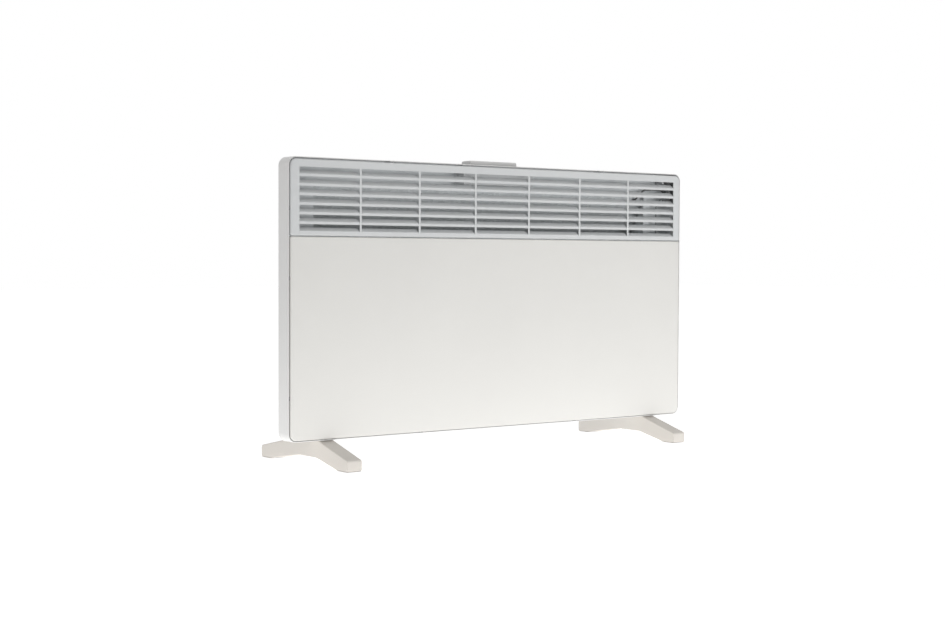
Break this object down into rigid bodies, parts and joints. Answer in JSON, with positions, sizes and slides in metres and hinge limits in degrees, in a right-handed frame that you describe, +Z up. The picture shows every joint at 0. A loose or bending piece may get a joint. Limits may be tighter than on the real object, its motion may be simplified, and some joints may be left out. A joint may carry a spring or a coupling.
{
  "type": "wall panel convector heater",
  "caption": "Slim electric panel convector heater: steel casing, louvred top plate over a plain front plate, recessed carry handle, side thermostat and rocker switches, arched feet.",
  "frame": {"origin": "on the floor under the middle of the heater's width and of its feet's length", "axes": "+X along the width, to the right seen from the front; +Y from the front to the back; +Z up"},
  "size_m": [0.76, 0.233, 0.4458],
  "materials": {
    "casing_paint": "satin white powder coat",
    "panel_paint": "satin white powder coat",
    "grille_paint": "satin light grey-white powder coat",
    "foot_plastic": "fine satin, warm light grey",
    "handle_plastic": "fine satin, light grey",
    "housing_plastic": "fine satin, white",
    "dial_film": "satin light grey, printed",
    "cup_plastic": "pale grey, satin",
    "dark_plastic": "satin black",
    "block_plastic": "dark grey, satin",
    "knob_plastic": "satin light grey",
    "lens_red": "clear red",
    "lamp_glass": "clear",
    "galvanised": "galvanised sheet",
    "spring_steel": "dark phosphated steel",
    "screw_steel": "zinc plated",
    "sheath_steel": "matt stainless",
    "fin_aluminium": "extruded",
    "ceramic": "glazed steatite",
    "silicone": "matt silicone",
    "black_rubber": "matt",
    "brass": "plain",
    "copper_tube": "plain copper",
    "wire_grey": "satin silicone insulation",
    "wire_black": "satin insulation"
  },
  "bodies": {
    "heater": {"casing": "casing_paint", "front_panel": "panel_paint", "grille_panel": "grille_paint", "cross_rail": "galvanised", "grille_clips": "spring_steel", "panel_clips": "spring_steel", "rear_pan": "galvanised", "pan_screws": "screw_steel", "back_wall_screws": "screw_steel", "carry_handle": "handle_plastic", "handle_cup": "cup_plastic", "handle_screws": "screw_steel", "air_deflector": "galvanised", "heat_shield": "galvanised", "element_fins": "fin_aluminium", "element_sheaths": "sheath_steel", "element_insulators": "ceramic", "element_terminals": "sheath_steel", "neutral_link": "brass", "element_bracket_left": "galvanised", "element_bracket_right": "galvanised", "element_bushes": "silicone", "thermal_cutout": "dark_plastic", "cutout_clamp": "galvanised", "cutout_screws": "screw_steel", "control_housing": "housing_plastic", "control_housing_screws": "screw_steel", "dial_plate": "dial_film", "thermostat_body": "dark_plastic", "thermostat_screws": "screw_steel", "thermostat_capillary": "copper_tube", "sensor_clip": "housing_plastic", "indicator_lens": "lens_red", "indicator_lamp": "lamp_glass", "switch_frame_front": "dark_plastic", "switch_frame_rear": "dark_plastic", "cord_gland": "dark_plastic", "gland_nut": "dark_plastic", "wire_grommet": "black_rubber", "terminal_block": "block_plastic", "terminal_screws": "spring_steel", "earth_stud": "screw_steel", "earth_nut": "screw_steel", "wire_live": "wire_grey", "wire_thermostat_cutout": "wire_grey", "wire_cutout_switches": "wire_grey", "wire_stage_one": "wire_grey", "wire_stage_two": "wire_grey", "wire_neutral": "wire_black", "wire_earth": "wire_grey", "wire_earth_grille": "wire_grey", "foot_left": "foot_plastic", "foot_right": "foot_plastic", "foot_screws": "screw_steel", "foot_nut_plates": "galvanised"},
    "knob": {"thermostat_knob": "knob_plastic", "thermostat_spindle": "brass"},
    "rocker_front": {"rocker_front": "dark_plastic"},
    "rocker_rear": {"rocker_rear": "dark_plastic"}
  },
  "joints": [
    {"name": "thermostat_turn", "type": "hinge", "parent": "heater", "child": "knob", "pos_m": [0.3692, 0.00485, 0.3694], "axis": [-1, 0, 0], "range_deg": [-135, 135]},
    {"name": "rocker_front_tilt", "type": "hinge", "parent": "heater", "child": "rocker_front", "pos_m": [0.3686, -0.00565, 0.3084], "axis": [0, -1, 0], "range_deg": [0, 20]},
    {"name": "rocker_rear_tilt", "type": "hinge", "parent": "heater", "child": "rocker_rear", "pos_m": [0.3686, 0.01535, 0.3084], "axis": [0, -1, 0], "range_deg": [0, 20]}
  ]
}
